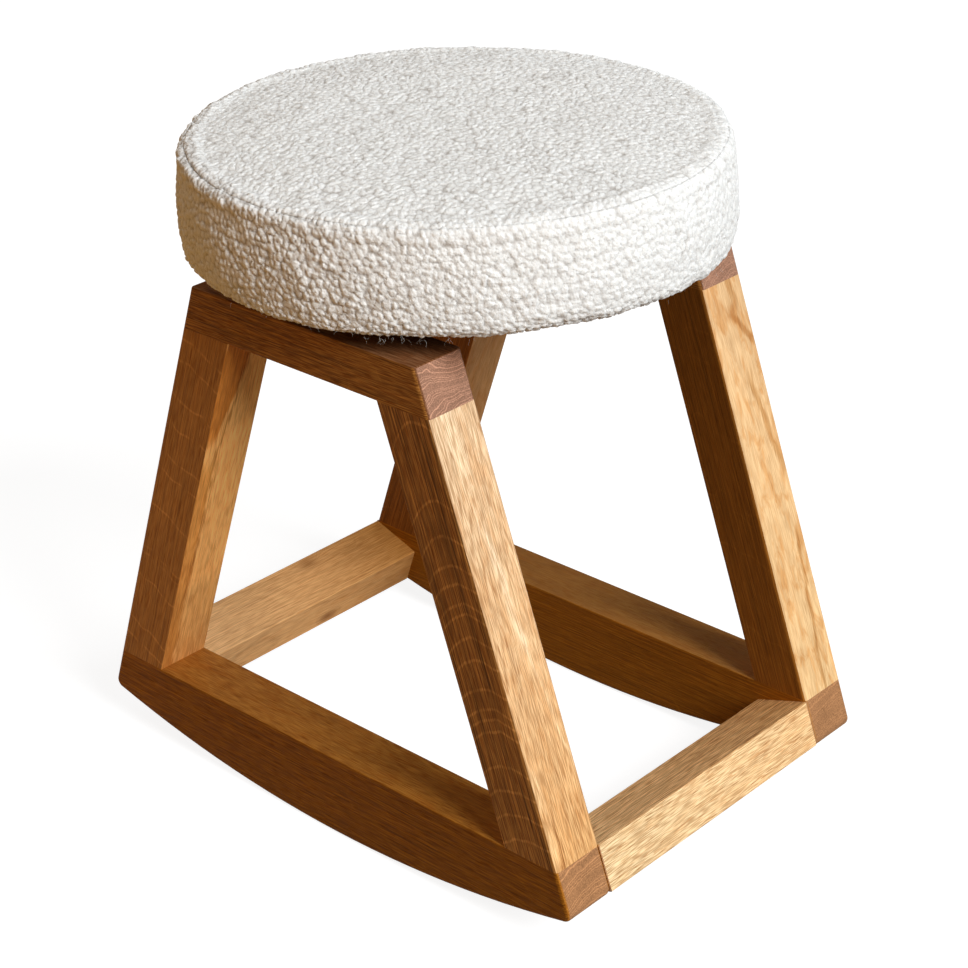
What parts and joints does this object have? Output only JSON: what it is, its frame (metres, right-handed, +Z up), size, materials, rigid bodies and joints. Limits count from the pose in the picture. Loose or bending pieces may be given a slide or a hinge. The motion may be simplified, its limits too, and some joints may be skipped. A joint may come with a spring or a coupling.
{
  "type": "rocking footstool",
  "caption": "Rocking footstool: slanted oak side frames on curved rockers, joined by cross rails, carry a round pad in off-white boucle on a plywood seat board.",
  "frame": {"origin": "on the floor under the middle of the stool, on the line where both rockers touch the floor", "axes": "+X forward along the rockers, the way the stool rocks; +Y across, from the near side frame to the far one; +Z up"},
  "size_m": [0.4246, 0.348, 0.4498],
  "materials": {
    "oak": "satin",
    "beech_dowel": "matte",
    "plywood": "matte",
    "screw_steel": "satin",
    "staple_steel": "satin",
    "dust_cloth": "matte",
    "boucle": "matte",
    "wadding": "matte",
    "foam": "matte"
  },
  "bodies": {
    "root": {"near_rocker": "oak", "far_rocker": "oak", "near_front_leg": "oak", "near_back_leg": "oak", "far_front_leg": "oak", "far_back_leg": "oak", "near_top_rail": "oak", "far_top_rail": "oak", "front_cross_rail": "oak", "back_cross_rail": "oak", "leg_foot_dowels": "beech_dowel", "leg_head_dowels": "beech_dowel", "cross_rail_dowels": "beech_dowel", "seat_board": "plywood", "pad_base": "plywood", "seat_board_screws": "screw_steel", "pad_screws": "screw_steel", "cover_staples": "staple_steel", "dust_cloth_staples": "staple_steel", "dust_cloth": "dust_cloth", "cover_top_panel": "boucle", "cover_side_band": "boucle", "wadding_wrap": "wadding", "foam_core": "foam"}
  },
  "joints": []
}
